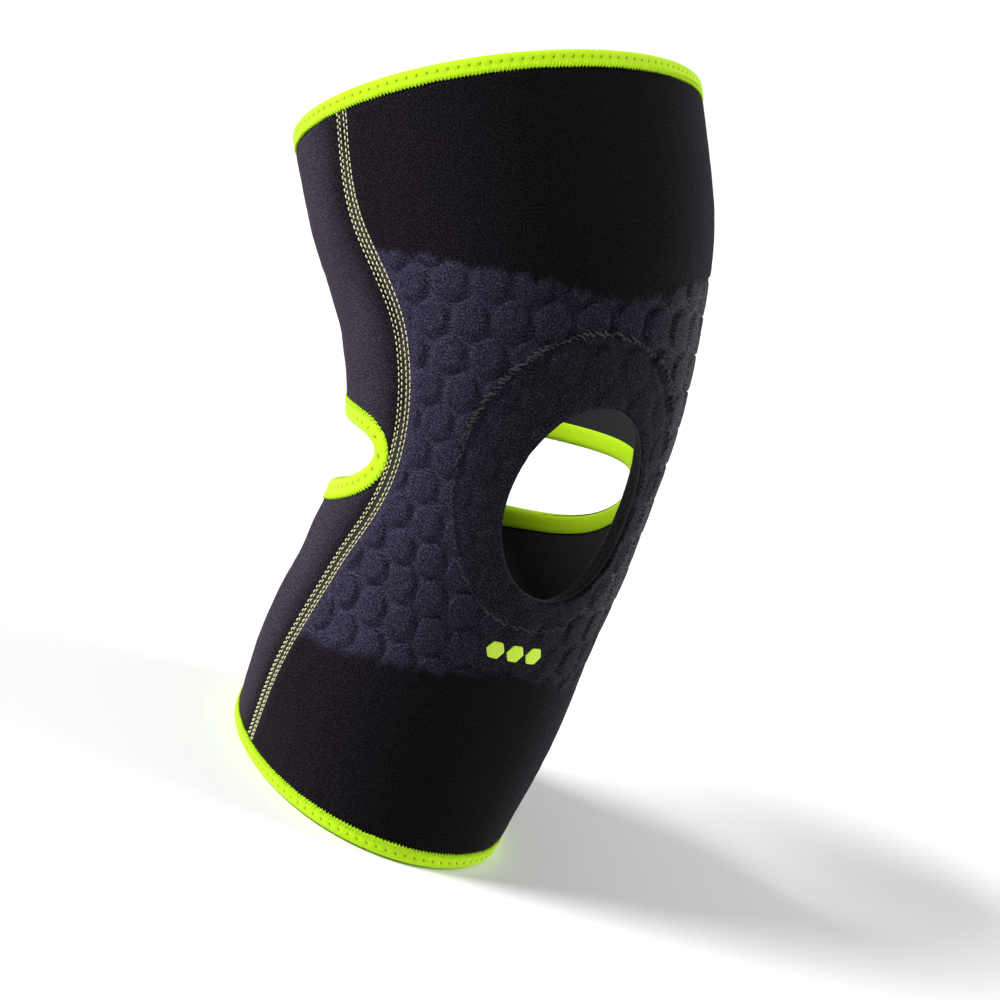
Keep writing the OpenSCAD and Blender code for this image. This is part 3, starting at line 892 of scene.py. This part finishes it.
def binding(name, path, widen=1.0):
    """Folded tape, swollen a little between its needle holes and ragged along its free edge."""
    s, u, step_s, step_u, holes = path
    station = np.arange(len(s), dtype=float)
    wave = np.cos(station / len(s) * holes * 2 * pi)[:, None]
    hole = np.clip(wave, 0, 1) ** 5
    d, lift = TAPE_SECTION.T
    on_top = lift > -0.2 * MM
    outer = on_top * smooth(0, 1 * MM, d)
    swell = -0.09 * MM * wave * bump(d - 4.8 * MM, 2.2 * MM) * outer
    wobble = 0.09 * MM * noise(station, 0 * station, 29.0, 51)[:, None] * outer
    pit = NEEDLE_DEPTH * hole * bump(d - NEEDLE_LINE, 0.5 * MM) * on_top
    ragged = 0.28 * MM * noise(station, 0 * station, 1.3, 52)[:, None]
    ds = widen * (d + ragged * smooth(6.0 * MM, 6.7 * MM, d) * (lift > -0.6 * MM))
    points = place(s[:, None] + step_s[:, None] * ds, u[:, None] + step_u[:, None] * ds,
                   lift + swell + wobble - pit)
    o = swept(name, points, True)
    add_value(o, "dimple", np.clip(hole * bump(d - NEEDLE_LINE, 0.4 * MM) * on_top, 0, 1).ravel())
    add_value(o, "leg", np.tile(smooth(4.4 * MM, 6.6 * MM, d) * on_top, (len(s), 1)).ravel())
    return o


def zigzag(name, path, width):
    """Zigzag thread that lies along the inner edge of the tape's outer leg."""
    s, u, step_s, step_u, teeth = path
    phase = np.arange(len(s)) / len(s) * teeth
    wave = 2 * np.abs(phase % 1 - 0.5)
    d = width - 1.75 * MM + ZIGZAG_WIDTH * wave + 0.15 * MM * noise(phase, phase * 0, 3.0, 53)
    over = np.clip((d - width + 0.3 * MM) / (0.6 * MM), 0, 1)
    lift = 0.47 * MM - 0.62 * MM * over
    return thread(name, s + step_s * d, u + step_u * d, lift, ZIGZAG_THREAD)


def rim(name, s_edge, inward, body):
    tape = binding(name, rim_path(s_edge, inward, NEEDLE_PITCH))
    rides(tape, body, LIME, "binding", name)
    stitched = zigzag(name + "_thread", rim_path(s_edge, inward, ZIGZAG_PITCH), BINDING_WIDTH)
    rides(stitched, body, LIME_YARN, "binding_thread", name + "_thread")


def back_rim():
    tape = binding("back_binding", back_path(NEEDLE_PITCH), BACK_BINDING_WIDTH / BINDING_WIDTH)
    bends(tape, LIME, "binding", "back_binding")
    stitched = zigzag("back_binding_thread", back_path(ZIGZAG_PITCH), BACK_BINDING_WIDTH)
    bends(stitched, LIME_YARN, "binding_thread", "back_binding_thread")


rim("top_binding", LENGTH, -1, THIGH)
rim("bottom_binding", 0.0, 1, CALF)
back_rim()

# ---------------- side seams
STITCH_PITCH = 2.4 * MM
SEAM_ROWS = np.array([-2.7, -1.35, 0.85, 2.45]) * MM
SEAM_DASHES = np.array([1.65, 1.55, 1.85, 1.95]) * MM
DASH_WIDTH, DASH_HEIGHT = 0.44 * MM, 0.60 * MM
# The dark band's edges and the pitch of its strands, and half the width of the tape inside
BAND_EDGES, STRAND_PITCH, TAPE_REACH = (-3.15 * MM, 2.95 * MM), 0.8 * MM, 2.5 * MM
SEAM_START = BINDING_WIDTH - 0.3 * MM
SEAM_POINTS = 3001


def seam_path(side, count_per_metre):
    """Places up a side seam at equal arc steps, and the seam's slant there."""
    dense = np.linspace(SEAM_START, LENGTH - SEAM_START, SEAM_POINTS)
    arc = arc_lengths(place(dense, side * spline(SEAM_TURNS, dense)))
    count = int(arc[-1] * count_per_metre)
    s = np.interp((np.arange(count) + 0.5) / count * arc[-1], arc, dense)
    u = side * spline(SEAM_TURNS, s)
    h = 0.5 * MM
    du = side * (spline(SEAM_TURNS, s + h) - spline(SEAM_TURNS, s - h)) * radius(s, u)
    return s, u, np.arctan2(du, 2 * h * stretch(s, u))


def across_seam(s, u, slant, offset):
    """The place at a distance across the seam."""
    return s - offset * np.sin(slant) / stretch(s, u), u + offset * np.cos(slant) / radius(s, u)


def strip(side, count_per_metre, wide, lift, flat_lift):
    """The outlines of a strip along a side seam: across it at one lift and back at a flat one."""
    s, u, slant = seam_path(side, count_per_metre)
    ps, pu = across_seam(s[:, None], u[:, None], slant[:, None], wide[None])
    there = place(ps, pu, lift(np.arange(len(s))[:, None]))
    return np.concatenate([there, place(ps[:, ::-1], pu[:, ::-1], flat_lift)], 1)


def seam_dashes(side, name):
    """Four rows of pale dashes."""
    s, u, slant = seam_path(side, 1 / STITCH_PITCH)
    rows = []
    for row, (offset, dash) in enumerate(zip(SEAM_ROWS, SEAM_DASHES)):
        shift = (row % 2) * 0.5 * STITCH_PITCH
        row_s, row_u = across_seam(s, u, slant, offset)
        wobble = 0.06 * np.sin(np.arange(len(s)) * 2.3 + row)
        rows.append((row_s + shift, row_u, slant + wobble, dash + 0 * s))
    s, u, angle, dash = (np.concatenate(values) for values in zip(*rows))
    keep = (s > SEAM_START) & (s < LENGTH - SEAM_START)
    dashes = stitches(name + "_thread", s[keep], u[keep], -0.22 * MM, angle[keep], dash[keep],
                      DASH_WIDTH, DASH_HEIGHT)
    bends(dashes, PALE_YARN, "seam_thread", name + "_thread")


def cover_thread(side, name):
    """The woven band of dark thread that the pale rows sit on."""
    wide = np.linspace(*BAND_EDGES, 33)
    strands = (0.5 + 0.5 * np.cos((wide + 0.1 * MM) * 2 * pi / STRAND_PITCH)) ** 2

    def shine(station):
        return strands * (0.5 + 0.5 * np.cos(station * 2 * pi / 2.4 + wide / MM * 2.2))

    def lift(station):
        rounded = 0.45 * MM * np.clip(np.abs(wide) / (3.3 * MM), 0, 1) ** 6
        return -0.62 * MM + 0.10 * MM * strands + 0.14 * MM * shine(station) - rounded

    outline = strip(side, 2200, wide, lift, -1.2 * MM)
    band = swept(name + "_cover_thread", outline, False)
    bright = shine(np.arange(len(outline))[:, None])
    add_value(band, "strand", np.concatenate([bright, 0 * bright], 1).ravel())
    bends(band, OLIVE_YARN, "seam_thread")


def seam_tape(side, name):
    """The tape over the seam on the inside."""
    wide = np.linspace(-TAPE_REACH, TAPE_REACH, 9)
    crown = 0.35 * MM * (1 - (wide / TAPE_REACH) ** 4)
    outline = strip(side, 700, wide, lambda station: -3.75 * MM - crown + 0 * station, -3.5 * MM)
    tape = swept(name + "_tape", outline, False)
    bends(tape, TAPE, "seam_tape", name + "_tape")


def seam(side, name):
    seam_dashes(side, name)
    cover_thread(side, name)
    seam_tape(side, name)


seam(-1, "outer_seam")
seam(1, "inner_seam")

# ---------------- kneecap ring, its cover and stitching
# Sections as [share of the way from the opening's edge to the stitched ring, lift in mm]
RING_SECTION = np.array([
    [0.14, 0], [0.15, -1.2], [0.19, -2.4], [0.28, -3.4], [0.40, -3.9], [0.5, -4.0], [0.60, -3.9],
    [0.72, -3.4], [0.81, -2.4], [0.85, -1.2], [0.86, 0], [0.7, 0], [0.5, 0], [0.3, 0]])
COVER_SECTION = np.array([
    [0.02, 0], [0.08, -0.1], [0.115, -0.8], [0.15, -2.3], [0.22, -3.5], [0.35, -4.35], [0.5, -4.6],
    [0.65, -4.35], [0.78, -3.5], [0.85, -2.3], [0.885, -0.8], [0.92, -0.1], [0.96, 0], [1.0, 0]])
RING_TOP = -LAMINATE - 0.15 * MM
# The cover's two sides, below its section's lift
COVER_TOP, COVER_BOTTOM = 0.05 * MM, 0.5 * MM
PUCKERS = 96


def ring_path(count):
    """Stations from the kneecap opening's edge to the stitched ring."""
    t = np.arange(count) / count * 2 * pi
    u, s = HOLE_W / MEAN_RADIUS * np.cos(t), KNEE + HOLE_H * np.sin(t)
    ring_u, ring_s = (RING_X + RING_W * np.cos(t)) / MEAN_RADIUS, RING_S + RING_H * np.sin(t)
    return s, u, ring_s - s, ring_u - u, t


def round_ring(name, share, lifts):
    """A ring from its section's shares and its lifts at every station."""
    s, u, step_s, step_u, _ = ring_path(len(lifts))
    at_s, at_u = s[:, None] + step_s[:, None] * share[None], u[:, None] + step_u[:, None] * share[None]
    o = swept(name, place(at_s, at_u, lifts), True)
    add_cloth_place(o, at_s.ravel(), at_u.ravel())
    return o


def ring_pad(stations):
    share, lift = RING_SECTION.T
    ring = round_ring("patella_ring", share, np.tile(RING_TOP + lift * MM, (stations, 1)))
    bends(ring, FOAM, "ring_foam", "patella_ring")


def ring_cover(stations):
    """The fabric over the pad, puckered where it is sewn down."""
    share, lift = COVER_SECTION.T
    t = ring_path(stations)[4][:, None]
    pucker = 0.16 * MM * np.cos(t * PUCKERS) * bump(share - 0.90, 0.06)
    pucker = pucker + 0.10 * MM * np.cos(t * PUCKERS + 1) * bump(share - 0.10, 0.05)
    crown = 0.12 * MM * noise(t * 12, share * 5 + 0 * t, 1.0, 61)
    line = RING_TOP + lift * MM + pucker + crown
    lifts = np.concatenate([line - COVER_BOTTOM, line[:, ::-1] - COVER_TOP], 1)
    cover = round_ring("ring_cover", np.concatenate([share, share[::-1]]), lifts)
    bends(cover, LINING, "lining", "ring_cover")


def ring_stitching():
    """Tufts of dark thread that make a furry cord round the kneecap opening."""
    chance = np.random.default_rng(71)
    count = 3 * RING_STITCHES
    t = (np.arange(count) + chance.uniform(-0.3, 0.3, count)) / count * 2 * pi
    off = chance.uniform(-0.55, 0.55, count) * MM
    u, s = (RING_X + (RING_W + off) * np.cos(t)) / MEAN_RADIUS, RING_S + (RING_H + off) * np.sin(t)
    shown = ring_strength(t)
    lift = outer_lift(s, u, True) + (0.25 * shown - 0.20) * MM
    slant = 0.75 + chance.uniform(-0.55, 0.55, count)
    angle = np.arctan2(-np.sin(t), np.cos(t) * stretch(s, u)) + slant
    tufts = stitches("ring_thread", s, u, lift, angle, 2.8 * MM * shown, 0.75 * MM, 1.0 * MM)
    bends(tufts, BLACK_YARN, "dark_thread", "ring_thread")


ring_pad(stations=240)
ring_cover(stations=480)
ring_stitching()

# ---------------- emblem: three generic lime cells
# Each cell's section, as [share of its size, height in mm over the cloth]
EMBLEM_SECTION = [(1.0, -0.20), (0.985, 0.26), (0.93, 0.36), (0.80, 0.38), (0.5, 0.38), (0.2, 0.38)]
EMBLEM_STEPS = 48
# The corners are rounded off at this share of their reach
EMBLEM_CORNER = 0.97


def emblem():
    turn = np.arange(EMBLEM_STEPS) * 2 * pi / EMBLEM_STEPS
    side = np.cos((turn + pi / 6) % (pi / 3) - pi / 6)
    edge = EMBLEM_CELL / sqrt(3) * np.minimum(cos(pi / 6) / side, EMBLEM_CORNER)
    points, faces = [], []
    for k in (-1, 0, 1):
        ids = len(points) + np.arange(len(EMBLEM_SECTION) * EMBLEM_STEPS).reshape(-1, EMBLEM_STEPS)
        for scale, high in EMBLEM_SECTION:
            x, y = edge * scale * np.cos(turn + pi / 2), edge * scale * np.sin(turn + pi / 2)
            s = EMBLEM_S + y
            u = EMBLEM_U + (x + k * EMBLEM_PITCH) / radius(EMBLEM_S, 0.0)
            points.extend(place(s, u, outer_lift(s, u, True) + high * MM).tolist())
        a, b = ids[:-1], ids[1:]
        faces += np.stack([a, np.roll(a, -1, 1), np.roll(b, -1, 1), b], -1).reshape(-1, 4).tolist()
        faces += [ids[-1].tolist(), ids[0][::-1].tolist()]
    o = new_mesh("emblem", points, faces)
    make_outward(o)
    bends(o, INK, "print", "emblem")


emblem()


# ---------------- floor and light
FLOOR_SIZE, FLOOR_GAP = 400, 0.5 * MM
LIGHT_AIM = Vector((0, 0.02, 0.15))
EDGE_LAMP = Vector((1.3, -0.5, 0.6))


def stage():
    bpy.ops.mesh.primitive_plane_add(size=FLOOR_SIZE, location=(0, 0, -FLOOR_GAP))
    floor = bpy.context.object
    floor.name = "floor"
    paint = material("pale_floor", (0.95, 0.95, 0.95), 0.95)
    paint.node_tree.nodes["Principled BSDF"].inputs["Specular IOR Level"].default_value = 0
    floor.data.materials.append(paint)


def lamp(name, kind, toward, energy):
    """A lamp whose light comes from the direction toward."""
    data = bpy.data.lights.new(name, kind)
    data.energy = energy
    o = bpy.data.objects.new(name, data)
    bpy.context.scene.collection.objects.link(o)
    o.rotation_euler = Vector(toward).to_track_quat("Z", "Y").to_euler()
    return o


stage()
key = lamp("key", "SUN", (-0.80, 0.30, 0.66), 3.8)
key.data.angle = radians(19)
edge = lamp("edge", "AREA", EDGE_LAMP - LIGHT_AIM, 14)
edge.data.shape = "DISK"
edge.data.size = 0.8
edge.location = EDGE_LAMP
world = bpy.data.worlds.new("studio")
world.use_nodes = True
background = world.node_tree.nodes["Background"]
background.inputs["Color"].default_value = (1, 1, 1, 1)
background.inputs["Strength"].default_value = 0.32
bpy.context.scene.world = world
bpy.context.scene.view_settings.view_transform = "Standard"
bpy.context.scene.view_settings.look = "None"
